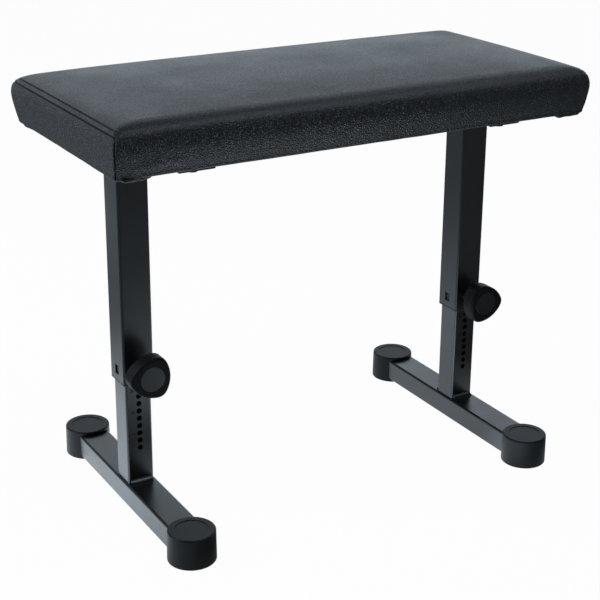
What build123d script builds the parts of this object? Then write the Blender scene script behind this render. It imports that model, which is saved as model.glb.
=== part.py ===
from build123d import *
from math import cos, radians, sin, sqrt
import os

# Keyboard bench: a padded seat on two T-shaped legs, with telescopic posts that lock at a row of holes.
# Millimetres. X runs along the seat, Y towards the back, Z up. The floor is Z = 0, the origin is below the
# middle of the seat.

# Seat cushion
seat_length = 660.0
seat_width = 321.0
seat_underside = 471.5
seat_edge_height = 60.5
seat_widest_height = 34.5
seat_crown = 6.0
draw_in_ends = 7.5
draw_in_sides = 13.0
edge_round_ends = 12.5
end_slope = 35.5
edge_round_sides = 39.0
seat_corner = 8.0
crown_run = 95.0
side_steps = 4
round_steps = 6
crown_steps = 4
cover_thickness = 1.5
cover_hem = 22.0
hem_rail_clearance = 2.0
soft_clearance = 0.3
board_thickness = 15.0

# Rails under the seat
rail_width = 46.0
rail_height = 12.5
rail_wall = 1.5
rail_corner = 1.4
rail_length = 239.0
rail_inset = 34.0
plug_flange = 2.0
plug_depth = 4.0

# Bolts, washers and tee nuts that hold the rails to the board
bolt_diameter = 6.0
bolt_head_diameter = 12.0
bolt_head_height = 2.4
bolt_grip_in_board = 12.0
bolt_end_margin = 6.5
bolt_inner_offset = 46.0
washer_diameter = 14.0
washer_thickness = 1.0
tee_flange_diameter = 18.0
tee_flange_thickness = 1.5
tee_barrel_diameter = 8.0
tee_barrel_length = 10.0
bolt_clearance = 0.4
thread_clearance = 0.05

# Posts
post_spacing = 498.0
upper_post_size = 40.0
upper_post_wall = 2.0
upper_post_corner = 3.0
upper_post_bottom = 172.0
lower_post_size = 34.0
lower_post_wall = 2.0
lower_post_corner = 2.5
lower_post_length = 312.0

# Height holes and scale marks on the front of the lower post
hole_diameter = 7.0
hole_pitch = 10.0
hole_count = 15
first_hole_height = 81.6
pin_hole_index = 11
marked_hole_step = 3
mark_length = 4.6
mark_height = 1.4
mark_pitch = 2.2
mark_depth = 0.9
mark_offset = 8.6

# Guide bush between the posts, and the glide on top of the lower post
bush_lip = 3.0
bush_lip_chamfer = 0.8
bush_height = 44.0
slide_clearance = 0.1
press_clearance = 0.05
window_width = 10.0
window_height = 12.0
window_above_end = 7.5
tab_clearance = 2.8
tab_recess = 1.5
glide_cap = 4.0
glide_depth = 14.0
glide_clearance = 0.15

# Base tube, feet and welds
base_width = 40.0
base_height = 30.0
base_wall = 2.0
base_corner = 3.0
foot_floor = 4.3
foot_roof = 4.5
foot_bottom_diameter = 59.0
foot_top_diameter = 58.0
foot_spacing = 317.0
foot_top_round = 2.0
foot_bottom_round = 1.0
foot_ring_diameter = 41.0
foot_ring_depth = 0.5
base_past_foot_centre = 12.0
foot_grip = 0.1
weld_leg = 5.0

# Index pin and knob
pin_travel = 8.0
pin_tip_diameter = 6.4
pin_tip_reach = 3.0
pin_shank_diameter = 8.0
pin_collar_diameter = 12.4
pin_collar_thickness = 3.0
pin_rest_gap = 0.3
pin_spigot_diameter = 6.0
running_clearance = 0.05
barrel_diameter = 18.0
barrel_bore = 13.0
barrel_end_wall = 3.0
spring_compressed = 8.6
spring_diameter = 12.0
spring_bore = 9.2
knob_depth = 19.5
knob_lobe_radius = 13.0
knob_lobe_offset = 15.0
knob_front_round = 3.0
knob_back_round = 1.2
knob_web = 3.0
knob_recess_clearance = 1.5
knob_nut_pocket = 14.0
knob_cap_diameter = 32.0
knob_cap_thickness = 1.5
knob_nut_across_flats = 10.0
knob_nut_height = 4.9
knob_washer_diameter = 12.0
knob_washer_thickness = 1.0
left_knob_turn = 60.0
right_knob_turn = -1.5

# Values that follow from the sizes above
cut_through = 1.0
board_underside = seat_underside + cover_thickness
board_top = board_underside + board_thickness
seat_widest = seat_underside + seat_widest_height
seat_edge = seat_underside + seat_edge_height
base_top = foot_floor + base_height
foot_height = base_top + foot_roof
rail_underside = board_underside - rail_height
rail_x = post_spacing / 2 - rail_inset
pin_height = first_hole_height + pin_hole_index * hole_pitch
bolt_rows = (
    rail_length / 2 - plug_depth - bolt_end_margin,
    bolt_inner_offset,
)
bolt_places = [
    (side * rail_x, end * row)
    for side in (-1, 1)
    for end in (-1, 1)
    for row in bolt_rows
]

# Places along the pin's axis, from the post's front outwards, with the pin drawn clear of the holes
post_front = upper_post_size / 2
tip_end = lower_post_size / 2 - lower_post_wall - pin_tip_reach + pin_travel
collar_back = post_front + pin_rest_gap + pin_travel
collar_front = collar_back + pin_collar_thickness
spring_seat = collar_front + spring_compressed
barrel_end = spring_seat + barrel_end_wall
recess_floor = barrel_end + pin_travel + pin_rest_gap
web_front = recess_floor + knob_web
washer_front = web_front + running_clearance + knob_washer_thickness
nut_front = washer_front + knob_nut_height
cap_back = nut_front + running_clearance
knob_front = cap_back + knob_cap_thickness
knob_flank_radius = sqrt(3) * knob_lobe_offset + knob_lobe_radius

os.makedirs("parts", exist_ok=True)


def save(piece, name):
    piece.part.label = name
    export_step(piece.part, f"parts/{name}.step")


def level(x, z):
    """Plane across a post or leg at height z, centred on x."""
    return Plane(origin=(x, 0, z), x_dir=(1, 0, 0), z_dir=(0, 0, 1))


def facing_front(x, out):
    """Plane across the pin's axis, at distance out in front of the post's middle."""
    return Plane(origin=(x, -out, pin_height), x_dir=(1, 0, 0), z_dir=(0, -1, 0))


def square_tube(x, z, size, wall, corner, length):
    """Upright square tube, inside a part that is being built."""
    bore = size - 2 * wall
    with BuildSketch(level(x, z)) as section:
        RectangleRounded(size, size, corner)
        RectangleRounded(bore, bore, max(corner - wall, corner / 4), mode=Mode.SUBTRACT)
    extrude(section.sketch, amount=length)


def disc(x, back, front, diameter, mode=Mode.ADD):
    """Cylinder on the pin's axis, between two distances from the post's middle."""
    with BuildSketch(facing_front(x, back)) as section:
        Circle(diameter / 2)
    extrude(section.sketch, amount=front - back, mode=mode)


def cushion_form(inset, bottom, mode=Mode.ADD):
    """Crowned cushion with drawn-in sides, inset all round, from a level up to the crown."""
    sections = []
    for step in range(side_steps):
        share = step / side_steps
        pull = (1 - share) ** 2
        height = bottom + share * (seat_widest - bottom)
        sections.append((height, pull * draw_in_ends, pull * draw_in_sides))
    for step in range(round_steps + 1):
        angle = radians(90 * step / round_steps)
        back = 1 - cos(angle)
        height = seat_widest + sin(angle) * (seat_edge - seat_widest - inset)
        sections.append((height, back * edge_round_ends + back**2 * end_slope, back * edge_round_sides))
    for step in range(1, crown_steps + 1):
        share = step / crown_steps
        height = seat_edge - inset + (1 - (1 - share) ** 2) * seat_crown
        ends = edge_round_ends + end_slope + share * crown_run
        sides = edge_round_sides + share * crown_run
        sections.append((height, ends, sides))
    outlines = []
    for height, ends, sides in sections:
        length = seat_length - 2 * (inset + ends)
        width = seat_width - 2 * (inset + sides)
        with BuildSketch(Plane.XY.offset(height)) as outline:
            RectangleRounded(length, width, seat_corner)
        outlines.append(outline.sketch)
    loft(outlines, ruled=True, mode=mode)


# Cover: a skin over the padding, hemmed under the board and cut back where a rail would reach the hem
hem_length = seat_length - 2 * (draw_in_ends + cover_hem)
hem_width = seat_width - 2 * (draw_in_sides + cover_hem)
with BuildPart() as seat_cover:
    cushion_form(0, seat_underside)
    cushion_form(cover_thickness, board_underside, mode=Mode.SUBTRACT)
    with BuildSketch(Plane.XY.offset(seat_underside)):
        RectangleRounded(hem_length, hem_width, seat_corner)
        with Locations((-rail_x, 0), (rail_x, 0)):
            Rectangle(
                rail_width + 2 * hem_rail_clearance,
                rail_length + 2 * (plug_flange + hem_rail_clearance),
            )
    extrude(amount=cover_thickness, mode=Mode.SUBTRACT)
save(seat_cover, "seat_cover")

# Foam, resting on the board
with BuildPart() as seat_foam:
    cushion_form(cover_thickness + soft_clearance, board_underside)
    split(bisect_by=Plane.XY.offset(board_top), keep=Keep.TOP)
save(seat_foam, "seat_foam")

# Board, with a stepped hole for each tee nut
board_length = seat_length - 2 * (draw_in_ends + cover_thickness + soft_clearance)
board_width = seat_width - 2 * (draw_in_sides + cover_thickness + soft_clearance)
with BuildPart() as seat_board:
    with BuildSketch(Plane.XY.offset(board_underside)):
        RectangleRounded(board_length, board_width, seat_corner)
    extrude(amount=board_thickness)
    with Locations(*[(x, y, board_top) for x, y in bolt_places]):
        CounterBoreHole(
            radius=tee_barrel_diameter / 2 + thread_clearance,
            counter_bore_radius=tee_flange_diameter / 2 + thread_clearance,
            counter_bore_depth=tee_flange_thickness,
        )
save(seat_board, "seat_board")

# Tee nuts, sunk flush into the top of the board
with BuildPart() as tee_nuts:
    with BuildSketch(Plane.XY.offset(board_top)):
        with Locations(*bolt_places):
            Circle(tee_flange_diameter / 2)
    extrude(amount=-tee_flange_thickness)
    with BuildSketch(Plane.XY.offset(board_top)):
        with Locations(*bolt_places):
            Circle(tee_barrel_diameter / 2)
    extrude(amount=-tee_barrel_length)
    with BuildSketch(Plane.XY.offset(board_top)):
        with Locations(*bolt_places):
            Circle(bolt_diameter / 2 + thread_clearance)
    extrude(amount=-tee_barrel_length, mode=Mode.SUBTRACT)
save(tee_nuts, "tee_nuts")

# Washers and bolts below the rails
washer_underside = rail_underside - washer_thickness
with BuildPart() as seat_washers:
    with BuildSketch(Plane.XY.offset(washer_underside)):
        with Locations(*bolt_places):
            Circle(washer_diameter / 2)
            Circle((bolt_diameter + bolt_clearance) / 2, mode=Mode.SUBTRACT)
    extrude(amount=washer_thickness)
save(seat_washers, "seat_washers")

with BuildPart() as seat_bolts:
    with BuildSketch(Plane.XY.offset(washer_underside)):
        with Locations(*bolt_places):
            Circle(bolt_head_diameter / 2)
    extrude(amount=-bolt_head_height)
    fillet(seat_bolts.faces().sort_by(Axis.Z)[: len(bolt_places)].edges(), bolt_head_height / 2)
    with BuildSketch(Plane.XY.offset(washer_underside)):
        with Locations(*bolt_places):
            Circle(bolt_diameter / 2)
    extrude(amount=board_underside + bolt_grip_in_board - washer_underside)
save(seat_bolts, "seat_bolts")

# Plugs in the open ends of the rails
with BuildPart() as rail_end_plugs:
    for side in (-1, 1):
        for end in (-1, 1):
            mouth = Plane(
                origin=(side * rail_x, end * rail_length / 2, rail_underside + rail_height / 2),
                x_dir=(-end, 0, 0),
                z_dir=(0, end, 0),
            )
            with BuildSketch(mouth):
                RectangleRounded(rail_width, rail_height, rail_corner)
            extrude(amount=plug_flange)
            with BuildSketch(mouth):
                Rectangle(
                    rail_width - 2 * (rail_wall + press_clearance),
                    rail_height - 2 * (rail_wall + press_clearance),
                )
            extrude(amount=-plug_depth)
    fillet(rail_end_plugs.faces().filter_by(Axis.Y).sort_by(Axis.Y)[:2].edges(), plug_flange / 3)
    fillet(rail_end_plugs.faces().filter_by(Axis.Y).sort_by(Axis.Y)[-2:].edges(), plug_flange / 3)
save(rail_end_plugs, "rail_end_plugs")


def make_seat_rail(name, x, post_x):
    """Flat tube under the board, notched round the post."""
    with BuildPart() as rail:
        start = Plane(
            origin=(x, -rail_length / 2, rail_underside + rail_height / 2), x_dir=(1, 0, 0), z_dir=(0, -1, 0)
        )
        with BuildSketch(start):
            RectangleRounded(rail_width, rail_height, rail_corner)
            Rectangle(rail_width - 2 * rail_wall, rail_height - 2 * rail_wall, mode=Mode.SUBTRACT)
        extrude(amount=-rail_length)
        with BuildSketch(Plane.XY.offset(rail_underside)):
            with Locations(*[place for place in bolt_places if place[0] == x]):
                Circle((bolt_diameter + bolt_clearance) / 2)
        extrude(amount=rail_height, mode=Mode.SUBTRACT)
        with BuildSketch(level(post_x, rail_underside)):
            Rectangle(upper_post_size, upper_post_size)
        extrude(amount=rail_height, mode=Mode.SUBTRACT)
    save(rail, name)


def make_upper_post(name, x):
    """Outer tube of the telescopic post, with windows for the bush and a hole for the pin."""
    with BuildPart() as post:
        square_tube(
            x,
            upper_post_bottom,
            upper_post_size,
            upper_post_wall,
            upper_post_corner,
            board_underside - upper_post_bottom,
        )
        window_middle = upper_post_bottom + window_above_end + window_height / 2
        with Locations((x, 0, window_middle)):
            Box(upper_post_size + 2 * cut_through, window_width, window_height, mode=Mode.SUBTRACT)
        disc(
            x,
            post_front - upper_post_wall - cut_through,
            post_front + cut_through,
            pin_shank_diameter + bolt_clearance,
            mode=Mode.SUBTRACT,
        )
    save(post, name)


def make_guide_bush(name, x):
    """Plastic bush between the posts: a lip, a thin liner and two snap tabs."""
    bore = lower_post_size + 2 * slide_clearance
    liner = upper_post_size - 2 * (upper_post_wall + press_clearance)
    with BuildPart() as bush:
        with BuildSketch(level(x, upper_post_bottom)):
            RectangleRounded(upper_post_size, upper_post_size, upper_post_corner)
        extrude(amount=-bush_lip)
        chamfer(bush.faces().sort_by(Axis.Z)[0].edges(), bush_lip_chamfer)
        with BuildSketch(level(x, upper_post_bottom)):
            RectangleRounded(liner, liner, upper_post_corner / 2)
        extrude(amount=bush_height)
        tab_middle = upper_post_bottom + window_above_end + window_height / 2
        with Locations((x, 0, tab_middle)):
            Box(
                upper_post_size - 2 * tab_recess,
                window_width - 2 * tab_clearance,
                window_height - 2 * tab_clearance,
            )
        with BuildSketch(level(x, upper_post_bottom - bush_lip)):
            RectangleRounded(bore, bore, lower_post_corner)
        extrude(amount=bush_lip + bush_height, mode=Mode.SUBTRACT)
        disc(
            x,
            bore / 2 - cut_through,
            post_front - upper_post_wall,
            pin_shank_diameter + bolt_clearance,
            mode=Mode.SUBTRACT,
        )
    save(bush, name)


def make_pin_barrel(name, x):
    """Barrel welded to the post's front, which guides the pin and holds its spring."""
    with BuildPart() as barrel:
        disc(x, post_front, barrel_end, barrel_diameter)
        chamfer(barrel.faces().sort_by(Axis.Y)[0].edges(), barrel_end_wall / 3)
        disc(x, post_front, spring_seat, barrel_bore, mode=Mode.SUBTRACT)
        disc(x, post_front, barrel_end, pin_shank_diameter + 2 * running_clearance, mode=Mode.SUBTRACT)
    save(barrel, name)


def make_index_pin(name, x):
    """Pin with a plain tip, a collar for the spring, a shank and a spigot that carries the knob."""
    with BuildPart() as pin:
        disc(x, tip_end, collar_back, pin_tip_diameter)
        chamfer(pin.faces().sort_by(Axis.Y)[-1].edges(), pin_tip_diameter / 8)
        disc(x, collar_back, collar_front, pin_collar_diameter)
        disc(x, collar_front, recess_floor - running_clearance, pin_shank_diameter)
        disc(x, recess_floor - running_clearance, nut_front, pin_spigot_diameter)
    save(pin, name)


def make_pin_spring(name, x):
    """Space of the pin's hidden spring, between the collar and the barrel's end wall."""
    with BuildPart() as spring:
        disc(x, collar_front, spring_seat, spring_diameter)
        disc(x, collar_front, spring_seat, spring_bore, mode=Mode.SUBTRACT)
    save(spring, name)


def lobe_place(angle):
    """Middle of a knob's lobe that points in that direction."""
    return (knob_lobe_offset * cos(radians(angle)), knob_lobe_offset * sin(radians(angle)))


def make_knob(name, x, turn):
    """Rounded three-cornered knob, hollow at the back where it slides over the barrel."""
    with BuildPart() as knob:
        with BuildSketch(facing_front(x, knob_front - knob_depth)):
            with BuildLine():
                for lobe in (turn, turn + 120, turn + 240):
                    CenterArc(lobe_place(lobe), knob_lobe_radius, lobe - 30, 60)
                    CenterArc(lobe_place(lobe + 240), knob_flank_radius, lobe + 30, 60)
            make_face()
        extrude(amount=knob_depth)
        fillet(knob.faces().sort_by(Axis.Y)[0].edges(), knob_front_round)
        fillet(knob.faces().sort_by(Axis.Y)[-1].edges(), knob_back_round)
        disc(x, cap_back, knob_front, knob_cap_diameter + 2 * press_clearance, mode=Mode.SUBTRACT)
        disc(x, web_front, cap_back, knob_nut_pocket, mode=Mode.SUBTRACT)
        disc(x, recess_floor, web_front, pin_spigot_diameter + 2 * running_clearance, mode=Mode.SUBTRACT)
        disc(
            x,
            knob_front - knob_depth,
            recess_floor,
            barrel_diameter + 2 * knob_recess_clearance,
            mode=Mode.SUBTRACT,
        )
    save(knob, name)


def make_knob_cap(name, x):
    """Plain round cap that closes the knob's front."""
    with BuildPart() as cap:
        disc(x, cap_back, knob_front, knob_cap_diameter)
        fillet(cap.faces().sort_by(Axis.Y)[0].edges(), knob_cap_thickness / 3)
    save(cap, name)


def make_knob_washer(name, x):
    """Washer between the knob and its nut."""
    with BuildPart() as washer:
        disc(x, web_front + running_clearance, washer_front, knob_washer_diameter)
        disc(
            x,
            web_front + running_clearance,
            washer_front,
            pin_spigot_diameter + 2 * thread_clearance,
            mode=Mode.SUBTRACT,
        )
    save(washer, name)


def make_knob_nut(name, x):
    """Nut on the end of the pin, which holds the knob."""
    with BuildPart() as nut:
        with BuildSketch(facing_front(x, washer_front)):
            RegularPolygon(knob_nut_across_flats / 2, 6, major_radius=False)
            Circle(pin_spigot_diameter / 2 + thread_clearance, mode=Mode.SUBTRACT)
        extrude(amount=knob_nut_height)
    save(nut, name)


def make_lower_post(name, x):
    """Inner tube of the telescopic post, with a row of holes and stacked scale marks on its front."""
    with BuildPart() as post:
        square_tube(x, base_top, lower_post_size, lower_post_wall, lower_post_corner, lower_post_length)
        front = Plane(
            origin=(x, -lower_post_size / 2, first_hole_height), x_dir=(1, 0, 0), z_dir=(0, -1, 0)
        )
        with BuildSketch(front):
            with Locations(*[(0, hole * hole_pitch) for hole in range(hole_count)]):
                Circle(hole_diameter / 2)
        extrude(amount=-lower_post_wall - cut_through, mode=Mode.SUBTRACT)
        marked = range(marked_hole_step - 1, hole_count, marked_hole_step)
        for strokes, hole in enumerate(marked, start=1):
            with BuildSketch(front):
                with Locations((-mark_offset, hole * hole_pitch)):
                    with GridLocations(mark_length, mark_pitch, 1, strokes):
                        Rectangle(mark_length, mark_height)
            extrude(amount=-mark_depth, mode=Mode.SUBTRACT)
    save(post, name)


def make_post_glide(name, x):
    """Plastic glide plugged into the top of the lower post."""
    top = base_top + lower_post_length
    cap_size = upper_post_size - 2 * (upper_post_wall + glide_clearance)
    plug_size = lower_post_size - 2 * (lower_post_wall + press_clearance)
    with BuildPart() as glide:
        with BuildSketch(level(x, top)):
            RectangleRounded(cap_size, cap_size, lower_post_corner)
        extrude(amount=glide_cap)
        chamfer(glide.faces().sort_by(Axis.Z)[-1].edges(), glide_cap / 4)
        with BuildSketch(level(x, top)):
            RectangleRounded(plug_size, plug_size, lower_post_corner / 2)
        extrude(amount=-glide_depth)
    save(glide, name)


def make_base_tube(name, x):
    """Flat tube that runs front to back, with its ends in the feet."""
    length = foot_spacing + 2 * base_past_foot_centre
    with BuildPart() as base:
        front = Plane(
            origin=(x, -length / 2, foot_floor + base_height / 2), x_dir=(1, 0, 0), z_dir=(0, -1, 0)
        )
        with BuildSketch(front):
            RectangleRounded(base_width, base_height, base_corner)
            RectangleRounded(
                base_width - 2 * base_wall,
                base_height - 2 * base_wall,
                max(base_corner - base_wall, base_corner / 4),
                mode=Mode.SUBTRACT,
            )
        extrude(amount=-length)
    save(base, name)


def make_post_weld(name, x):
    """Weld beads at the front and back of the lower post's foot."""
    with BuildPart() as weld:
        for end in (-1, 1):
            root = Plane(origin=(x, end * lower_post_size / 2, base_top), x_dir=(0, end, 0), z_dir=(end, 0, 0))
            with BuildSketch(root):
                with BuildLine():
                    Line((0, 0), (weld_leg, 0))
                    RadiusArc((weld_leg, 0), (0, weld_leg), -2 * weld_leg)
                    Line((0, weld_leg), (0, 0))
                make_face()
            extrude(amount=lower_post_size / 2 - lower_post_corner, both=True)
    save(weld, name)


def make_foot(name, x, y):
    """Round rubber foot, tapering a little, with a pocket for the end of the base tube."""
    with BuildPart() as foot:
        with Locations((x, y, foot_height / 2)):
            Cone(foot_bottom_diameter / 2, foot_top_diameter / 2, foot_height)
        fillet(foot.faces().sort_by(Axis.Z)[-1].edges(), foot_top_round)
        fillet(foot.faces().sort_by(Axis.Z)[0].edges(), foot_bottom_round)
        with BuildSketch(Plane(origin=(x, y, foot_height), x_dir=(1, 0, 0), z_dir=(0, 0, 1))):
            Circle(foot_ring_diameter / 2)
        extrude(amount=-foot_ring_depth, mode=Mode.SUBTRACT)
        outward = 1 if y > 0 else -1
        pocket_end = Plane(
            origin=(x, y + outward * base_past_foot_centre, foot_floor + base_height / 2),
            x_dir=(-outward, 0, 0),
            z_dir=(0, outward, 0),
        )
        with BuildSketch(pocket_end):
            RectangleRounded(base_width + 2 * foot_grip, base_height + 2 * foot_grip, base_corner)
        extrude(amount=-foot_bottom_diameter, mode=Mode.SUBTRACT)
    save(foot, name)


for side_name, side, knob_turn in (("left", -1, left_knob_turn), ("right", 1, right_knob_turn)):
    leg_x = side * post_spacing / 2
    make_seat_rail(f"{side_name}_seat_rail", side * rail_x, leg_x)
    make_upper_post(f"{side_name}_upper_post", leg_x)
    make_guide_bush(f"{side_name}_guide_bush", leg_x)
    make_pin_barrel(f"{side_name}_pin_barrel", leg_x)
    make_index_pin(f"{side_name}_index_pin", leg_x)
    make_pin_spring(f"{side_name}_pin_spring", leg_x)
    make_knob(f"{side_name}_knob", leg_x, knob_turn)
    make_knob_cap(f"{side_name}_knob_cap", leg_x)
    make_knob_washer(f"{side_name}_knob_washer", leg_x)
    make_knob_nut(f"{side_name}_knob_nut", leg_x)
    make_lower_post(f"{side_name}_lower_post", leg_x)
    make_post_glide(f"{side_name}_post_glide", leg_x)
    make_base_tube(f"{side_name}_base_tube", leg_x)
    make_post_weld(f"{side_name}_post_weld", leg_x)
    make_foot(f"{side_name}_front_foot", leg_x, -foot_spacing / 2)
    make_foot(f"{side_name}_back_foot", leg_x, foot_spacing / 2)
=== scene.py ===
import bpy
import math
import numpy as np
from mathutils import Matrix, Vector, noise
from mathutils.bvhtree import BVHTree


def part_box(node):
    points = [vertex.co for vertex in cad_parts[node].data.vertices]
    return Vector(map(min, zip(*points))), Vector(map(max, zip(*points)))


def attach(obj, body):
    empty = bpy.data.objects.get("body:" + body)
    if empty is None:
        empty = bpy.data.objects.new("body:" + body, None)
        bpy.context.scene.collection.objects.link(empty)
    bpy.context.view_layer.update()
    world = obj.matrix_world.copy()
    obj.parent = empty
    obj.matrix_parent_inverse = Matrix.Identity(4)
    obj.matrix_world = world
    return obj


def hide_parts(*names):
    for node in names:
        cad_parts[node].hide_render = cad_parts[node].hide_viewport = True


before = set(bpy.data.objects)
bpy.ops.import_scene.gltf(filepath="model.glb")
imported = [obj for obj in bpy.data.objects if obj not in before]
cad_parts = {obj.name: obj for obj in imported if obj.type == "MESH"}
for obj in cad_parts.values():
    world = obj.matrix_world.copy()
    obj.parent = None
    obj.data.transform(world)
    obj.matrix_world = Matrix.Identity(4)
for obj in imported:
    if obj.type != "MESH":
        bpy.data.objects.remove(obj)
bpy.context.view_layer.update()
MM = 0.001

# Camera at the photograph's viewing angle, for a picture of 600 by 600 pixels
PICTURE_SIDE = 600
FOCAL_PIXELS = 1399.6
PICTURE_CENTRE = (315.2, 251.4)
CAMERA_PLACE = (-0.8751, -1.4616, 0.8941)
CAMERA_YAW = math.radians(31.2677)
CAMERA_PITCH = math.radians(19.4652)
CAMERA_ROLL = math.radians(-0.6799)
SENSOR = 36.0

# Cushion: its place comes from the cover's box, its form from the photograph
seat_low, seat_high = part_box("seat_cover")
SEAT_HALF_X = (seat_high.x - seat_low.x) / 2
SEAT_HALF_Y = (seat_high.y - seat_low.y) / 2
SEAT_UNDERSIDE = seat_low.z
COVER_LOFT = 0.5 * MM
COVER_SHIFT = (-1.3 * MM, 0.0, 0.0)
COVER_THICKNESS = 1.2 * MM
SEAT_TOP = seat_high.z + COVER_LOFT
SEAT_CROWN = 6 * MM
CROWN_RUN = 110 * MM
CROWN_FROM_SWELL = 0.3
WIDEST_HEIGHT = 34.5 * MM
EDGE_RISE = SEAT_TOP - SEAT_CROWN - SEAT_UNDERSIDE - WIDEST_HEIGHT
DRAW_IN_ENDS = 6.5 * MM
DRAW_IN_SIDES = 12 * MM
DRAW_IN_POWER = 1.6
ROUND_ENDS = 12.5 * MM
END_SLOPE = 35.5 * MM
ROUND_SIDES = 39 * MM
SIDE_SQUARENESS = 2.5
ROUND_END_ANGLE = 80.0
CORNER_AT_SIDE = 5 * MM
CORNER_AT_TOP = 9 * MM
HEM_WIDTH = 22 * MM
HEM_RINGS = 4
HEM_CURL = 4 * MM
CURL_TURNS = (15, 30, 45, 60, 75)
FOAM_INSET = 2.2 * MM

# Corners held in by their seams, drooping above, and pulled down to a wavy hem below
CORNER_HOLD, RIGHT_FRONT_HOLD, HOLD_REACH = 2.5 * MM, 5.2 * MM, 70 * MM
HOLD_BLEND = 20 * MM
LEFT_DROOP, RIGHT_DROOP, DROOP_REACH = 3.2 * MM, 1.2 * MM, 60 * MM
CORNER_DROP, DROP_REACH = 1.6 * MM, 40 * MM
HEM_SAG = 1.2 * MM
HEM_WAVE, WAVE_LENGTH = 0.9 * MM, 28 * MM

# Spacing of the points on the cover, and on the coarser pads for the foam and the simulation
COVER_CORNER_STEPS = [d * MM for d in (0, 0.5, 1.0, 1.6, 2.4, 3.6, 5.5, 8.5, 13)]
COVER_STEP = 6 * MM
COVER_SIDE_RINGS = 8
PAD_CORNER_STEPS = [0.0, 3 * MM, 8 * MM]
PAD_ANGLES = np.linspace(0, ROUND_END_ANGLE, 7)
PAD_SIDE_RINGS = 4
SWELL_STEP = 12 * MM
FOAM_STEP = 14 * MM

# Cloth simulation that lets the padding swell, and how much of it the sides take
SWELL_VOXEL = 6 * MM
SWELL_FRAMES = 20
SWELL_QUALITY = 6
SWELL_MASS = 0.3
SWELL_PRESSURE = 4.0
HELD_BELOW = 6 * MM
HELD_SEAM_RISE = 0.66
HELD_SEAM_REACH = 12 * MM
HELD_SEAM_BAND = 5 * MM
HELD_SEAM_SHARE = 0.6
NEAREST_BLEND = 0.5 * MM
SIDE_SWELL = (-0.3 * MM, 0.9 * MM)
UPRIGHT_LIMIT, UPRIGHT_FADE = 0.6, 0.35
SWELL_HEM_FADE = 8 * MM

# Seams at the two ends: two parallel lines on the rounded edge, and one line down each corner
SEAM_ANGLES = (35.0, 49.0)
SEAM_OFFSETS = (-4.5, -3.0, -2.0, -1.0, 0.0, 1.0, 2.0, 3.0, 4.5)
EDGE_ANGLE_STEP = 5
SEAM_FADE = 14.0
SEAM_HEM_FADE = 4 * MM
SEAM_DEPTH = 1.5 * MM
SEAM_WIDTH = 0.75 * MM
SEAM_LIP = 0.35 * MM
LIP_PLACE = 2.4 * SEAM_WIDTH
STITCH_PITCH = 4.6 * MM
STITCH_LENGTH = 3.4 * MM
STITCH_SHARES = (-0.5, -0.42, -0.2, 0.0, 0.2, 0.42, 0.5)
STITCH_SIDES = 6
STITCH_ARCH = 2.2
STITCH_END = 0.35
STITCH_AHEAD = 1 * MM
THREAD_RADIUS = 0.32 * MM

# Tucks under each corner, one at the long side and one at the end
TUCKS = (
    {"inset": (32 * MM, 23.5 * MM), "half": (18 * MM, 10 * MM), "depth": 5.0 * MM, "turn": math.radians(4)},
    {"inset": (19 * MM, 38 * MM), "half": (11 * MM, 10 * MM), "depth": 4.6 * MM, "turn": math.radians(-6)},
)
TUCK_STEPS = 14
TUCK_TAPER = 0.12
TUCK_EDGE_POWER, TUCK_EDGE_ROUND = 8, 0.4
TUCK_LUMP, TUCK_LUMP_SIZE = 0.25, 12 * MM

# Part of a noise's range that the finishes use
NOISE_LOW, NOISE_HIGH = 0.3, 0.7

# Leatherette: pebbles between pits coloured dark as painted shade, flatter where the surface faces up
GRAIN_SIZE = 2.7 * MM
GRAIN_BEND = 0.6
GRAIN_EDGE = (0.03, 0.42)
GRAIN_DEPTH = 0.8 * MM
GRAIN_ON_TOP = 0.22
TOP_FACING = (0.30, 0.85)
BEND_SCALE = 0.7
# Colour of the pits: painted shade in the grain's hollows
PIT_SHADE_COLOUR = (0.002, 0.0023, 0.0029)
PEBBLE_COLOUR = (0.030, 0.0340, 0.0400)
PIT_ROUGHER = 0.15
SEAM_ROUGHER = 0.45

# Studio: light in reflections is brightest round the object, where the floor glows as a painted pool of
# light, with patches as (centre, reach, gain); a negative gain is a painted shadow
FLOOR_HALF = 6.0
FLOOR_GLOW = 0.975
POOL_CENTRE = (0.0, 0.15, 0.0)
POOL_REACH = (0.25, 0.75)
POOL_DIM = 0.22
# Floor patches: positive gains add painted light, negative gains are painted shadows
FLOOR_PATCHES = (
    ((-0.36, 0.14, 0.0), (0.15, 0.40), 0.9),
    ((0.08, -0.28, 0.0), (0.08, 0.25), 2.8),
    ((-1.00, 1.10, 0.0), (0.20, 0.70), 0.5),
    ((-0.13, -0.20, 0.0), (0.05, 0.17), -1.0),
    ((0.40, -0.25, 0.0), (0.05, 0.20), -0.7),
    ((0.22, -0.24, 0.0), (0.02, 0.10), -1.4),
)
BACKDROP_SIDE = (0.52, 0.85, 0.0)
BACKDROP_FADE = (0.45, 0.92)
BACKDROP_TOP = (0.41, 0.55)
OVERHEAD_SHARE = 0.1
STUDIO_LEVELS = (0.06, 1.47)
STUDIO_TINT = (0.80, 0.91, 1.0)
WHITE = (1.0, 1.0, 1.0)
LAMPS = {
    "key": {"place": (-2.2, 0.6, 1.6), "target": (0.0, 0.0, 0.25), "size": (1.6, 1.6), "power": 38},
    "top": {"place": (0.6, -0.7, 2.3), "target": (0.0, -0.1, 0.4), "size": (1.6, 1.0), "power": 13},
}


def new_object(name, vertices, faces, material, smooth=True):
    """Mesh object from points in metres, in the row frame."""
    mesh = bpy.data.meshes.new(name)
    mesh.from_pydata([tuple(v) for v in vertices], [], faces)
    mesh.update()
    mesh.polygons.foreach_set("use_smooth", [smooth] * len(mesh.polygons))
    if material:
        mesh.materials.append(material)
    made = bpy.data.objects.new(name, mesh)
    bpy.context.scene.collection.objects.link(made)
    return made


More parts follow.
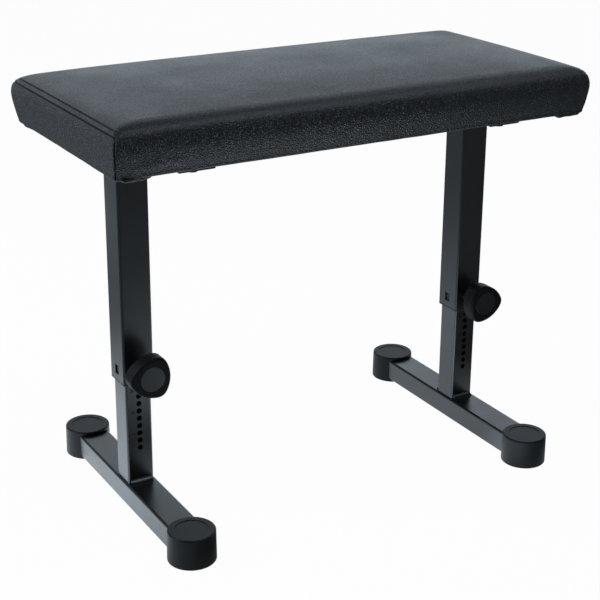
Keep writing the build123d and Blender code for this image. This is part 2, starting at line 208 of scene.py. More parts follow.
def coordinates(mesh):
    """Places of a mesh's points."""
    flat = np.zeros(len(mesh.vertices) * 3, np.float32)
    mesh.vertices.foreach_get("co", flat)
    return flat.reshape(-1, 3).astype(float)


def normals(mesh):
    """Outward directions at a mesh's points."""
    flat = np.zeros(len(mesh.vertices) * 3, np.float32)
    mesh.vertex_normals.foreach_get("vector", flat)
    return flat.reshape(-1, 3).astype(float)


def set_coordinates(mesh, points):
    """Puts a mesh's points at new places."""
    mesh.vertices.foreach_set("co", np.asarray(points, np.float32).ravel())
    mesh.update()


# Materials
class Nodes:
    """Node tree that is built up by short calls."""

    def __init__(self, tree):
        self.tree = tree

    def node(self, kind, **settings):
        made = self.tree.nodes.new(kind)
        for key, value in settings.items():
            setattr(made, key, value)
        return made

    def link(self, start, end):
        self.tree.links.new(start, end)

    def levels(self, value, low, high, to_low=0.0, to_high=1.0, smooth=False):
        """Value moved from one range to another, and kept inside it."""
        made = self.node("ShaderNodeMapRange")
        for socket, number in zip(("From Min", "From Max", "To Min", "To Max"), (low, high, to_low, to_high)):
            made.inputs[socket].default_value = number
        if smooth:
            made.interpolation_type = "SMOOTHSTEP"
        self.link(value, made.inputs["Value"])
        return made.outputs["Result"]

    def math(self, operation, first, second):
        made = self.node("ShaderNodeMath", operation=operation)
        for socket, value in zip(made.inputs, (first, second)):
            if isinstance(value, (int, float)):
                socket.default_value = value
            else:
                self.link(value, socket)
        return made.outputs[0]

    def studio_colour(self, seen):
        """White where the camera sees it, and the studio's tint elsewhere."""
        made = self.node("ShaderNodeMix", data_type="RGBA")
        self.link(seen, made.inputs["Factor"])
        made.inputs["A"].default_value = (*STUDIO_TINT, 1.0)
        made.inputs["B"].default_value = (*WHITE, 1.0)
        return made.outputs["Result"]


class Finish(Nodes):
    """Node material with one Principled shader."""

    def __init__(self, name):
        self.material = bpy.data.materials.new(name)
        self.material.use_nodes = True
        super().__init__(self.material.node_tree)
        self.shader = self.tree.nodes["Principled BSDF"]
        self.place = self.node("ShaderNodeTexCoord").outputs["Object"]

    def noise(self, size, detail=3.0, rough=0.5, stretch=None):
        """Noise whose features are about that size, in metres, drawn out where an axis is scaled down."""
        made = self.node("ShaderNodeTexNoise")
        made.inputs["Scale"].default_value = 1.0 / size
        made.inputs["Detail"].default_value = detail
        made.inputs["Roughness"].default_value = rough
        vector = self.place
        if stretch:
            mapping = self.node("ShaderNodeMapping")
            mapping.inputs["Scale"].default_value = stretch
            self.link(self.place, mapping.inputs["Vector"])
            vector = mapping.outputs["Vector"]
        self.link(vector, made.inputs["Vector"])
        return made.outputs["Fac"]

    def cells(self, size, bend=0.0):
        """Distance to the edge of cells of about that size, in metres, with edges bent by noise."""
        made = self.node("ShaderNodeTexVoronoi", feature="DISTANCE_TO_EDGE")
        made.inputs["Scale"].default_value = 1.0 / size
        vector = self.place
        if bend:
            wander = self.node("ShaderNodeTexNoise")
            wander.inputs["Scale"].default_value = BEND_SCALE / size
            self.link(self.place, wander.inputs["Vector"])
            mix = self.node("ShaderNodeVectorMath", operation="MULTIPLY_ADD")
            mix.inputs[1].default_value = (bend * size,) * 3
            self.link(wander.outputs["Color"], mix.inputs[0])
            self.link(self.place, mix.inputs[2])
            vector = mix.outputs[0]
        self.link(vector, made.inputs["Vector"])
        return made.outputs["Distance"]

    def upwards(self):
        """How far the surface faces up: 1 on top, 0 on an upright side."""
        made = self.node("ShaderNodeSeparateXYZ")
        self.link(self.node("ShaderNodeTexCoord").outputs["Normal"], made.inputs[0])
        return made.outputs["Z"]

    def distance(self, place):
        made = self.node("ShaderNodeVectorMath", operation="DISTANCE")
        made.inputs[1].default_value = place
        self.link(self.place, made.inputs[0])
        return made.outputs["Value"]

    def ramp(self, value, *stops):
        """Colour from a value, through (place, colour) stops."""
        made = self.node("ShaderNodeValToRGB")
        elements = made.color_ramp.elements
        while len(elements) < len(stops):
            elements.new(1.0)
        for element, (place, colour) in zip(elements, stops):
            element.position = place
            element.color = (*colour, 1.0)
        self.link(value, made.inputs["Fac"])
        return made.outputs["Color"]

    def mottled(self, value, dark, light):
        """Colour between two others, from a noise."""
        return self.ramp(value, (NOISE_LOW, dark), (NOISE_HIGH, light))

    def between(self, value, low, high):
        """Number between two others, from a noise."""
        return self.levels(value, NOISE_LOW, NOISE_HIGH, low, high)

    def colour(self, output):
        self.link(output, self.shader.inputs["Base Color"])

    def roughness(self, output):
        self.link(output, self.shader.inputs["Roughness"])

    def bump(self, height, depth, strength=1.0, under=None):
        """Bump of that depth in metres, on top of another bump if one is given."""
        made = self.node("ShaderNodeBump")
        made.inputs["Strength"].default_value = strength
        made.inputs["Distance"].default_value = depth
        self.link(height, made.inputs["Height"])
        if under:
            self.link(under, made.inputs["Normal"])
        self.link(made.outputs["Normal"], self.shader.inputs["Normal"])
        return made.outputs["Normal"]

    def set(self, **values):
        """Constants of the shader, by their names in small letters."""
        for key, value in values.items():
            socket = key.replace("_", " ").title().replace("Ior", "IOR")
            self.shader.inputs[socket].default_value = value
        return self


def leatherette():
    """Black imitation leather with a fine pebbled grain, flatter where people sit; painted shade darkens its
    pits and seam grooves.
    """
    f = Finish("leatherette")
    pebble = f.levels(f.cells(GRAIN_SIZE, GRAIN_BEND), *GRAIN_EDGE)
    fine = f.noise(0.7 * MM, detail=2.0)
    broad = f.noise(60 * MM)
    # The seam attribute darkens the colour along the seam grooves: painted shade
    seam = f.node("ShaderNodeAttribute", attribute_name="seam").outputs["Fac"]
    grain_and_seam_shade = f.math("MULTIPLY", pebble, f.math("SUBTRACT", 1.0, seam))
    # Pits between the pebbles take the pit colour: painted shade in the hollows
    f.colour(f.ramp(grain_and_seam_shade, (0.0, PIT_SHADE_COLOUR), (1.0, PEBBLE_COLOUR)))
    rough = f.math("ADD", f.between(broad, 0.34, 0.40), f.levels(grain_and_seam_shade, 0.0, 1.0, PIT_ROUGHER, 0.0))
    f.roughness(f.math("ADD", rough, f.levels(seam, 0.0, 1.0, 0.0, SEAM_ROUGHER)))
    flattened = f.levels(f.upwards(), *TOP_FACING, 1.0, GRAIN_ON_TOP)
    under = f.bump(f.math("MULTIPLY", pebble, flattened), GRAIN_DEPTH)
    f.bump(fine, 0.06 * MM, strength=0.6, under=under)
    return f.set(specular_ior_level=0.68).material


def painted_tube(name, rough_low, rough_high, shine):
    """Black powder coat with a fine orange peel."""
    f = Finish(name)
    peel = f.noise(1.3 * MM, detail=2.0, rough=0.45)
    broad = f.noise(40 * MM)
    f.colour(f.mottled(broad, (0.006, 0.0068, 0.0078), (0.009, 0.0100, 0.0115)))
    f.roughness(f.between(broad, rough_low, rough_high))
    f.bump(peel, 0.06 * MM, strength=0.6)
    return f.set(specular_ior_level=shine).material


def moulded(name, dark, light, rough_low, rough_high, shine=0.5, grain=0.6 * MM):
    """Moulded plastic or rubber with a fine spark-eroded grain."""
    f = Finish(name)
    spark = f.noise(grain, rough=0.6)
    broad = f.noise(18 * MM)
    f.colour(f.mottled(broad, dark, light))
    f.roughness(f.between(spark, rough_low, rough_high))
    f.bump(spark, 0.03 * MM, strength=0.6)
    return f.set(specular_ior_level=shine).material


def metal(name, dark, light, rough_low, rough_high):
    """Bare or plated metal with fine working marks."""
    f = Finish(name)
    marks = f.noise(0.8 * MM, detail=4.0, rough=0.6)
    bloom = f.noise(6 * MM)
    f.colour(f.mottled(bloom, dark, light))
    f.roughness(f.between(marks, rough_low, rough_high))
    f.bump(marks, 0.02 * MM, strength=0.5)
    return f.set(metallic=1.0).material


def plywood():
    """Board underside: pale wood with long grain along the seat."""
    f = Finish("plywood")
    grain = f.noise(2.2 * MM, detail=6.0, rough=0.65, stretch=(0.05, 1.0, 1.0))
    pores = f.noise(0.6 * MM, rough=0.6, stretch=(0.08, 1.0, 1.0))
    late, middle, early = (0.36, 0.23, 0.12), (0.52, 0.36, 0.20), (0.60, 0.44, 0.27)
    f.colour(f.ramp(grain, (0.3, late), (0.55, middle), (0.75, early)))
    f.roughness(f.between(pores, 0.6, 0.8))
    f.bump(pores, 0.1 * MM, strength=0.4)
    return f.material


def foam():
    """Open-cell foam."""
    f = Finish("foam")
    cell_middle = 0.4
    cells = f.cells(1.4 * MM)
    f.colour(f.ramp(cells, (0.0, (0.38, 0.36, 0.30)), (cell_middle, (0.62, 0.60, 0.52))))
    f.roughness(f.levels(cells, 0.0, cell_middle, 0.8, 0.95))
    f.bump(cells, 0.4 * MM, strength=0.6)
    return f.material


NYLON_DARK, NYLON_LIGHT = (0.012, 0.0125, 0.013), (0.018, 0.0185, 0.019)
KNOB_DARK, KNOB_LIGHT = (0.006, 0.0068, 0.0078), (0.009, 0.0100, 0.0112)
RUBBER_DARK, RUBBER_LIGHT = (0.007, 0.0078, 0.0088), (0.011, 0.0120, 0.0132)
finishes = {
    "leatherette": leatherette(),
    "painted_tube": painted_tube("painted_tube", 0.26, 0.34, 0.95),
    "upper_tube": painted_tube("upper_tube", 0.30, 0.38, 0.7),
    "foam": foam(),
    "plywood": plywood(),
    "black_steel": metal("black_steel", (0.03, 0.031, 0.033), (0.05, 0.051, 0.053), 0.35, 0.5),
    "zinc_steel": metal("zinc_steel", (0.50, 0.51, 0.52), (0.66, 0.67, 0.68), 0.25, 0.42),
    "spring_steel": metal("spring_steel", (0.30, 0.30, 0.31), (0.42, 0.42, 0.43), 0.25, 0.4),
    "bush_plastic": moulded("bush_plastic", NYLON_DARK, NYLON_LIGHT, 0.42, 0.55),
    "black_plastic": moulded("black_plastic", NYLON_DARK, NYLON_LIGHT, 0.42, 0.55),
    "knob_plastic": moulded("knob_plastic", KNOB_DARK, KNOB_LIGHT, 0.50, 0.62, shine=0.15),
    "cap_plastic": moulded("cap_plastic", (0.008, 0.0082, 0.0085), (0.011, 0.0113, 0.0116), 0.30, 0.38),
    "foot_rubber": moulded("foot_rubber", RUBBER_DARK, RUBBER_LIGHT, 0.40, 0.52, shine=0.25),
}
thread_finish = moulded("seam_thread", (0.008, 0.008, 0.009), (0.02, 0.02, 0.022), 0.5, 0.7, grain=0.2 * MM)

# Finish of each CAD node, by its name without its side
NODE_FINISH = {
    "seat_board": "plywood",
    "tee_nuts": "zinc_steel",
    "seat_washers": "black_steel",
    "seat_bolts": "black_steel",
    "rail_end_plugs": "black_plastic",
    "seat_rail": "upper_tube",
    "upper_post": "upper_tube",
    "lower_post": "painted_tube",
    "base_tube": "painted_tube",
    "post_weld": "painted_tube",
    "pin_barrel": "upper_tube",
    "guide_bush": "bush_plastic",
    "post_glide": "bush_plastic",
    "index_pin": "zinc_steel",
    "pin_spring": "spring_steel",
    "knob_washer": "zinc_steel",
    "knob_nut": "zinc_steel",
    "knob_cap": "cap_plastic",
    "knob": "knob_plastic",
    "front_foot": "foot_rubber",
    "back_foot": "foot_rubber",
    "seat_cover": "leatherette",
    "seat_foam": "foam",
}
for name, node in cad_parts.items():
    kind = name.removeprefix("left_").removeprefix("right_")
    node.data.materials.clear()
    node.data.materials.append(finishes[NODE_FINISH[kind]])


# Cushion: rings of points from the hem up to the top edge, and a grid over the top
def side_marks(length, corner_steps, step):
    """Distances along one side from corner to corner, close together near both corners."""
    start = list(corner_steps)
    middle = length - 2 * start[-1]
    count = max(2, round(middle / step))
    inner = [start[-1] + middle * k / count for k in range(1, count)]
    return start + inner + [length - d for d in reversed(start)]


class Pad:
    """Closed or open cushion form with a rounded rectangle for each ring."""

    def __init__(self, corner_steps, step, rings, closed_below):
        self.corner_zone = corner_steps[-1]
        length_x = self.side_length(SEAT_HALF_X, CORNER_AT_SIDE)
        length_y = self.side_length(SEAT_HALF_Y, CORNER_AT_SIDE)
        self.marks_x = side_marks(length_x, corner_steps, step)
        self.marks_y = side_marks(length_y, corner_steps, step)
        self.count_x = len(self.marks_x) - 1
        self.count_y = len(self.marks_y) - 1
        self.ring_count = 2 * (self.count_x + self.count_y)
        self.points = []
        self.faces = []
        for one in rings:
            self.points.extend((x, y, one["z"]) for x, y in self.outline(one))
        for k in range(len(rings) - 1):
            self.band(k)
        self.fill(rings[-1], (len(rings) - 1) * self.ring_count, False)
        if closed_below:
            self.fill(rings[0], 0, True)

    @staticmethod
    def side_length(half, corner):
        """Length of a side from the middle of one corner's arc to the middle of the next."""
        return 2 * (half - corner) + corner * math.pi / 2

    def along(self, distance, full, half, corner):
        """Place along a side and inwards from it, at a distance from the middle of the corner's arc."""
        length = self.side_length(half, corner)
        zone = self.corner_zone
        if full - distance < zone:
            distance = length - (full - distance)
        elif distance > zone:
            distance = zone + (distance - zone) / (full - 2 * zone) * (length - 2 * zone)
        arc = corner * math.pi / 4
        if distance < arc:
            turn = (arc - distance) / corner
            return -half + corner * (1 - math.sin(turn)), corner * (1 - math.cos(turn))
        if length - distance < arc:
            turn = (arc - (length - distance)) / corner
            return half - corner * (1 - math.sin(turn)), corner * (1 - math.cos(turn))
        return -half + corner + distance - arc, 0.0

    def outline(self, one):
        """Points of a ring: front, right end, back, left end."""
        half_x, half_y = SEAT_HALF_X - one["ends"], SEAT_HALF_Y - one["sides"]
        corner = one["corner"]
        front = [self.along(d, self.marks_x[-1], half_x, corner) for d in self.marks_x[:-1]]
        right = [self.along(d, self.marks_y[-1], half_y, corner) for d in self.marks_y[:-1]]
        outline = [(u, -half_y + v) for u, v in front]
        outline += [(half_x - v, u) for u, v in right]
        outline += [(-u, half_y - v) for u, v in front]
        outline += [(-half_x + v, -u) for u, v in right]
        return outline

    def band(self, k):
        """Faces between a ring and the next one."""
        low, high, count = k * self.ring_count, (k + 1) * self.ring_count, self.ring_count
        for i in range(count):
            after = (i + 1) % count
            self.faces.append((low + i, low + after, high + after, high + i))

    def fill(self, one, first, facing_down):
        """Grid that fills a ring, from its own four sides."""
        nx, ny, count = self.count_x, self.count_y, self.ring_count
        outline = [np.array(p) for p in self.outline(one)]
        front = outline[: nx + 1]
        right = outline[nx: nx + ny + 1]
        back = outline[nx + ny: 2 * nx + ny + 1][::-1]
        left = (outline[2 * nx + ny:] + outline[:1])[::-1]
        index = {}
        for i in range(nx + 1):
            index[i, 0] = first + i
            index[i, ny] = first + nx + ny + nx - i
        for j in range(ny + 1):
            index[nx, j] = first + nx + j
            index[0, j] = first + (2 * nx + ny + ny - j) % count
        for i in range(1, nx):
            u = (front[i][0] - front[0][0]) / (front[nx][0] - front[0][0])
            for j in range(1, ny):
                v = (left[j][1] - left[0][1]) / (left[ny][1] - left[0][1])
                across = (1 - v) * front[i] + v * back[i] + (1 - u) * left[j] + u * right[j]
                bottom = (1 - u) * front[0] + u * front[nx]
                top = (1 - u) * back[0] + u * back[nx]
                x, y = across - (1 - v) * bottom - v * top
                index[i, j] = len(self.points)
                self.points.append((x, y, one["z"]))
        for i in range(nx):
            for j in range(ny):
                quad = (index[i, j], index[i + 1, j], index[i + 1, j + 1], index[i, j + 1])
                self.faces.append(quad[::-1] if facing_down else quad)


def ring(ends, sides, z, corner, angle=None):
    """Distances in from the seat's ends and sides, height, corner radius, and angle round the top edge."""
    return {"ends": ends, "sides": sides, "z": z, "corner": corner, "angle": angle}


def edge_profile(angle, edge_rise):
    """Rounded edge at an angle from upright: the distances in at an end and at a side, and the rise."""
    turn = math.radians(angle)
    back = 1 - math.cos(turn)
    side_back = 1 - (1 - math.sin(turn) ** SIDE_SQUARENESS) ** (1 / SIDE_SQUARENESS)
    return back * ROUND_ENDS + back**2 * END_SLOPE, side_back * ROUND_SIDES, math.sin(turn) * edge_rise


def cushion_rings(hem, angles, side_count, inset=0.0, bottom=None):
    """Rings of the cushion's outside, from the hem's inner edge to where the top becomes level."""
    start = SEAT_UNDERSIDE if bottom is None else bottom
    widest = SEAT_UNDERSIDE + WIDEST_HEIGHT
    edge = SEAT_TOP - SEAT_CROWN - inset
    made = []
    if hem:
        for reach in np.linspace(HEM_WIDTH, HEM_CURL, HEM_RINGS):
            made.append(ring(DRAW_IN_ENDS + reach, DRAW_IN_SIDES + reach, start, CORNER_AT_SIDE))
        for turn in CURL_TURNS:
            back = HEM_CURL * (1 - math.sin(math.radians(turn)))
            lift = HEM_CURL * (1 - math.cos(math.radians(turn)))
            made.append(ring(DRAW_IN_ENDS + back, DRAW_IN_SIDES + back, start + lift, CORNER_AT_SIDE))
        start = start + HEM_CURL
    for step in range(side_count):
        share = step / side_count
        pull = (1 - share) ** DRAW_IN_POWER
        height = start + share * (widest - start)
        made.append(ring(inset + pull * DRAW_IN_ENDS, inset + pull * DRAW_IN_SIDES, height, CORNER_AT_SIDE))
    for angle in angles:
        ends, sides, rise = edge_profile(angle, edge - widest)
        corner = CORNER_AT_SIDE + (CORNER_AT_TOP - CORNER_AT_SIDE) * angle / 90
        made.append(ring(inset + ends, inset + sides, widest + rise, corner, angle))
    return made


def seam_angles():
    """Angles round the edge, with extra ones close to each seam."""
    found = {float(a) for a in np.arange(0, ROUND_END_ANGLE + 1, EDGE_ANGLE_STEP)}
    for seam in SEAM_ANGLES:
        found = {a for a in found if abs(a - seam) > SEAM_OFFSETS[-1]}
        found |= {seam + offset for offset in SEAM_OFFSETS}
    return sorted(found)


def drawn_corners(points):
    """Points of the cushion with its corners held in, drooping above and pulled down to a wavy hem below."""
    rise = np.clip((points[:, 2] - SEAT_UNDERSIDE) / WIDEST_HEIGHT, 0, 1)
    low = (1 - rise) ** 2
    above = np.clip((points[:, 2] - SEAT_UNDERSIDE - WIDEST_HEIGHT) / EDGE_RISE, 0, 1)
    from_end = np.maximum(0, SEAT_HALF_X - abs(points[:, 0]))
    from_side = np.maximum(0, SEAT_HALF_Y - abs(points[:, 1]))
    away = np.hypot(from_end, from_side)
    right_front = (points[:, 0] > 0) & (points[:, 1] < 0)
    hold = np.where(right_front, RIGHT_FRONT_HOLD, CORNER_HOLD)
    hold = hold * (1 - low) * np.exp(-(from_end + from_side) / HOLD_REACH)
    inwards = np.minimum(from_end - DRAW_IN_ENDS, from_side - DRAW_IN_SIDES)
    outer = low**2 * np.clip(1 - inwards / HEM_WIDTH, 0, 1)
    wave = np.array([0.5 + 0.5 * noise.noise(Vector(p) / WAVE_LENGTH) for p in points])
    moved = points.copy()
    moved[:, :2] -= np.tanh(points[:, :2] / HOLD_BLEND) * hold[:, None]
    droop = np.where(points[:, 0] < 0, LEFT_DROOP, RIGHT_DROOP)
    moved[:, 2] -= droop * above * np.exp(-away / DROOP_REACH)
    moved[:, 2] -= outer * (HEM_SAG + HEM_WAVE * wave + CORNER_DROP * np.exp(-away / DROP_REACH))
    return moved


def swelling_pad():
    """Coarse closed pad with an even mesh."""
    rings = cushion_rings(False, PAD_ANGLES, PAD_SIDE_RINGS)
    pad = Pad(PAD_CORNER_STEPS, SWELL_STEP, rings, True)
    body = new_object("swelling_pad", pad.points, pad.faces, None)
    bpy.context.view_layer.objects.active = body
    remesh = body.modifiers.new("remesh", "REMESH")
    remesh.mode = "VOXEL"
    remesh.voxel_size = SWELL_VOXEL
    with bpy.context.temp_override(object=body, active_object=body):
        bpy.ops.object.modifier_apply(modifier="remesh")
    return body


def simulated_swell(points):
    """Lets the pad swell as cloth under pressure, held at its underside and its end seams, and says how
    far each of the given points moves."""
    body = swelling_pad()
    before = coordinates(body.data)
    held = body.vertex_groups.new(name="held")
    seam_height = SEAT_UNDERSIDE + WIDEST_HEIGHT + HELD_SEAM_RISE * EDGE_RISE
    for k, (x, y, z) in enumerate(before):
        at_bottom = z < SEAT_UNDERSIDE + HELD_BELOW
        at_seam = abs(x) > SEAT_HALF_X - HELD_SEAM_REACH and abs(z - seam_height) < HELD_SEAM_BAND
        if at_bottom or at_seam:
            held.add([k], 1.0 if at_bottom else HELD_SEAM_SHARE, "REPLACE")
    cloth = body.modifiers.new("cloth", "CLOTH")
    cloth.settings.quality = SWELL_QUALITY
    cloth.settings.mass = SWELL_MASS
    cloth.settings.vertex_group_mass = "held"
    cloth.settings.use_pressure = True
    cloth.settings.uniform_pressure_force = SWELL_PRESSURE
    cloth.settings.effector_weights.gravity = 0.0
    cloth.point_cache.frame_start = 1
    cloth.point_cache.frame_end = SWELL_FRAMES
    scene = bpy.context.scene
    for step in range(1, SWELL_FRAMES + 1):
        scene.frame_set(step)
    after = coordinates(body.evaluated_get(bpy.context.evaluated_depsgraph_get()).data)
    move = after - before
    polygons = [tuple(p.vertices) for p in body.data.polygons]
    tree = BVHTree.FromPolygons([Vector(p) for p in before], polygons, all_triangles=False)
    found = np.zeros((len(points), 3))
    for k, point in enumerate(points):
        place, _, face, _ = tree.find_nearest(Vector(point))
        corners = list(polygons[face])
        weight = 1.0 / (np.linalg.norm(before[corners] - np.array(place), axis=1) + NEAREST_BLEND)
        found[k] = (weight[:, None] * move[corners]).sum(0) / weight.sum()
    scene.frame_set(1)
    bpy.data.objects.remove(body)
    return found


def crown_share(points):
    """How much of the crown each point has: none on the rounded edge, rising over the top."""
    ends, sides, _ = edge_profile(ROUND_END_ANGLE, 0.0)
    inwards_x = np.clip((SEAT_HALF_X - ends - abs(points[:, 0])) / CROWN_RUN, 0, 1)
    inwards_y = np.clip((SEAT_HALF_Y - sides - abs(points[:, 1])) / CROWN_RUN, 0, 1)
    above = points[:, 2] > SEAT_UNDERSIDE + WIDEST_HEIGHT
    return (1 - (1 - inwards_x) ** 2) * (1 - (1 - inwards_y) ** 2) * above


def swollen(points, out):
    """Points moved outwards: the crown over the top, and the taut cover's small swell on the sides."""
    share = crown_share(points)
    crown_height = SEAT_TOP - points[share > 0, 2].max()
    moved = points.copy()
    swell = simulated_swell(points)
    rise = np.clip(swell[:, 2] / swell[:, 2].max(), 0, 1)
    moved[:, 2] += crown_height * share * (1 - CROWN_FROM_SWELL + CROWN_FROM_SWELL * rise)
    upright = np.clip((UPRIGHT_LIMIT - out[:, 2]) / UPRIGHT_FADE, 0, 1)
    above_hem = np.clip((points[:, 2] - SEAT_UNDERSIDE - HEM_CURL) / SWELL_HEM_FADE, 0, 1)
    side = np.clip((swell * out).sum(1), *SIDE_SWELL) * upright * above_hem
    return moved + out * side[:, None]


def make_cover():
    """Sewn cover over the padding, and the lines of its seams."""
    rings = cushion_rings(True, seam_angles(), COVER_SIDE_RINGS)
    pad = Pad(COVER_CORNER_STEPS, COVER_STEP, rings, False)
    points = drawn_corners(np.array(pad.points))
    cover = new_object("seat_cushion_cover", points, pad.faces, finishes["leatherette"])
    set_coordinates(cover.data, swollen(points, normals(cover.data)))
    set_coordinates(cover.data, seamed(cover, pad, rings) + COVER_SHIFT)
    lines = seam_lines(cover, pad, rings)
    soften = cover.modifiers.new("soften", "SUBSURF")
    soften.levels = soften.render_levels = 1
    skin = cover.modifiers.new("skin", "SOLIDIFY")
    skin.thickness = COVER_THICKNESS
    skin.offset = -1.0
    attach(cover, "seat")
    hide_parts("seat_cover")
    return lines


def ring_place(pad, index):
    """For a point of a ring: on an end or not, and its distance from the nearest corner."""
    nx, ny = pad.count_x, pad.count_y
    bounds = (0, nx, nx + ny, 2 * nx + ny, 2 * (nx + ny))
    for side in range(4):
        if bounds[side] <= index < bounds[side + 1]:
            marks = pad.marks_x if side % 2 == 0 else pad.marks_y
            distance = marks[index - bounds[side]]
            return side % 2 == 1 or distance == 0, min(distance, marks[-1] - distance)


def seam_shape(distance):
    """How far the cover goes in at a distance from a seam: a groove between two soft lips."""
    groove = SEAM_DEPTH * math.exp(-((distance / SEAM_WIDTH) ** 2))
    lip = SEAM_LIP * math.exp(-(((distance - LIP_PLACE) / SEAM_WIDTH) ** 2))
    return groove - lip


def seamed(cover, pad, rings):
    """Points of the cover with its seams sunk in; how deep in a seam each lies is kept for the finish, which
    darkens the colour there as painted shade.
    """
    points, out = coordinates(cover.data), normals(cover.data)
    dark = np.zeros(len(points), np.float32)
    for k, one in enumerate(rings):
        hem_fade = min(1.0, max(0.0, (one["z"] - SEAT_UNDERSIDE) / SEAM_HEM_FADE))
        for i in range(pad.ring_count):
            on_end, to_corner = ring_place(pad, i)
            reach, share = 1.0, 0.0
            if one["angle"] is not None and on_end:
                here = edge_profile(one["angle"], EDGE_RISE)[::2]
                reach = min(math.dist(here, edge_profile(a, EDGE_RISE)[::2]) for a in SEAM_ANGLES)
                share = 1.0
            corner_share = (SEAM_ANGLES[0] - (one["angle"] or 0.0)) / SEAM_FADE
            corner_share = hem_fade * min(1.0, max(0.0, corner_share))
            if to_corner < reach and corner_share > 0.0:
                reach, share = to_corner, corner_share
            vertex = k * pad.ring_count + i
            points[vertex] -= share * seam_shape(reach) * out[vertex]
            # Painted shade: this value darkens the leatherette's colour along the seam grooves
            dark[vertex] = share * math.exp(-((reach / SEAM_WIDTH) ** 2))
    cover.data.attributes.new("seam", "FLOAT", "POINT").data.foreach_set("value", dark)
    return points


def seam_lines(cover, pad, rings):
    """Polylines along the seams, as (points, outward directions)."""
    points, out = coordinates(cover.data), normals(cover.data)
    nx, ny = pad.count_x, pad.count_y
    ends = (range(nx, nx + ny + 1), range(2 * nx + ny, 2 * (nx + ny) + 1))
    corners = (0, nx, nx + ny, 2 * nx + ny)
    found = []
    for k, one in enumerate(rings):
        if one["angle"] in SEAM_ANGLES:
            for side in ends:
                path = [k * pad.ring_count + i % pad.ring_count for i in side]
                found.append((points[path], out[path]))
    side_rings = [k for k, one in enumerate(rings) if one["z"] > SEAT_UNDERSIDE + HEM_CURL]
    side_rings = [k for k in side_rings if rings[k]["angle"] is None or rings[k]["angle"] <= SEAM_ANGLES[0]]
    for corner in corners:
        path = [k * pad.ring_count + corner for k in side_rings]
        found.append((points[path], out[path]))
    return found


seams = make_cover()

# Foam inside the cover, resting on the board
board_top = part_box("seat_board")[1].z
foam_rings = cushion_rings(False, PAD_ANGLES, PAD_SIDE_RINGS, FOAM_INSET, board_top)
foam_pad = Pad(PAD_CORNER_STEPS, FOAM_STEP, foam_rings, True)
foam_points = drawn_corners(np.array(foam_pad.points)) + COVER_SHIFT
foam_block = new_object("seat_foam_block", foam_points, foam_pad.faces, finishes["foam"])
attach(foam_block, "seat")
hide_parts("seat_foam")


# Folded corners of the cover, tucked under the hem
def fold(tuck, side_x, side_y, vertices, faces):
    """One flat tuck under a corner of the seat: level above, rounded and uneven below."""
    middle_x = side_x * (SEAT_HALF_X - tuck["inset"][0])
    middle_y = side_y * (SEAT_HALF_Y - tuck["inset"][1])
    turn = side_x * side_y * tuck["turn"]
    first, size = len(vertices), TUCK_STEPS + 1
    for row in range(size):
        v = math.sin((row / TUCK_STEPS - 0.5) * math.pi)
        for column in range(size):
            u = math.sin((column / TUCK_STEPS - 0.5) * math.pi)
            along, across = tuck["half"][0] * u, tuck["half"][1] * v * (1 - TUCK_TAPER * u)
            x = middle_x + along * math.cos(turn) - across * math.sin(turn)
            y = middle_y + along * math.sin(turn) + across * math.cos(turn)
            inside = max(0.0, 1 - u**TUCK_EDGE_POWER) * max(0.0, 1 - v**TUCK_EDGE_POWER)
            lump = 1 + TUCK_LUMP * noise.noise(Vector((x, y, 0.0)) / TUCK_LUMP_SIZE)
            depth = tuck["depth"] * inside**TUCK_EDGE_ROUND * lump
            vertices.append(Vector((x, y, SEAT_UNDERSIDE - depth)))
    ends = (0, TUCK_STEPS)
    above = {k: first + k for k in range(size * size) if k // size in ends or k % size in ends}
    for k in range(size * size):
        if k not in above:
            above[k] = len(vertices)
            vertices.append(Vector((*vertices[first + k][:2], SEAT_UNDERSIDE)))
    for row in range(TUCK_STEPS):
        for column in range(TUCK_STEPS):
            near, far = row * size + column, (row + 1) * size + column
            quad = [near, near + 1, far + 1, far]
            faces.append(tuple(first + k for k in reversed(quad)))
            faces.append(tuple(above[k] for k in quad))


def make_folds():
    """All the tucks, as one piece."""
    vertices, faces = [], []
    for side_x in (-1, 1):
        for side_y in (-1, 1):
            for tuck in TUCKS:
                fold(tuck, side_x, side_y, vertices, faces)
    made = new_object("corner_folds", vertices, faces, finishes["leatherette"])
    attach(made, "seat")


make_folds()


# Stitches sunk in the seams
def stitch(centre, along, out, vertices, faces):
    """One short bent thread, lying in a seam."""
    across = along.cross(out).normalized()
    first = len(vertices)
    for share in STITCH_SHARES:
        rise = THREAD_RADIUS * STITCH_ARCH * math.cos(share * math.pi) - THREAD_RADIUS
        size = THREAD_RADIUS * (STITCH_END if abs(share) == 0.5 else 1.0)
        middle = centre + along * (share * STITCH_LENGTH) + out * rise
        for k in range(STITCH_SIDES):
            turn = 2 * math.pi * k / STITCH_SIDES
            vertices.append(middle + across * (size * math.cos(turn)) + out * (size * math.sin(turn)))
    last = first + (len(STITCH_SHARES) - 1) * STITCH_SIDES
    for start in range(first, last, STITCH_SIDES):
        for k in range(STITCH_SIDES):
            a, b = start + k, start + (k + 1) % STITCH_SIDES
            faces.append((a, b, b + STITCH_SIDES, a + STITCH_SIDES))
    faces.append(tuple(first + k for k in reversed(range(STITCH_SIDES))))
    faces.append(tuple(last + k for k in range(STITCH_SIDES)))


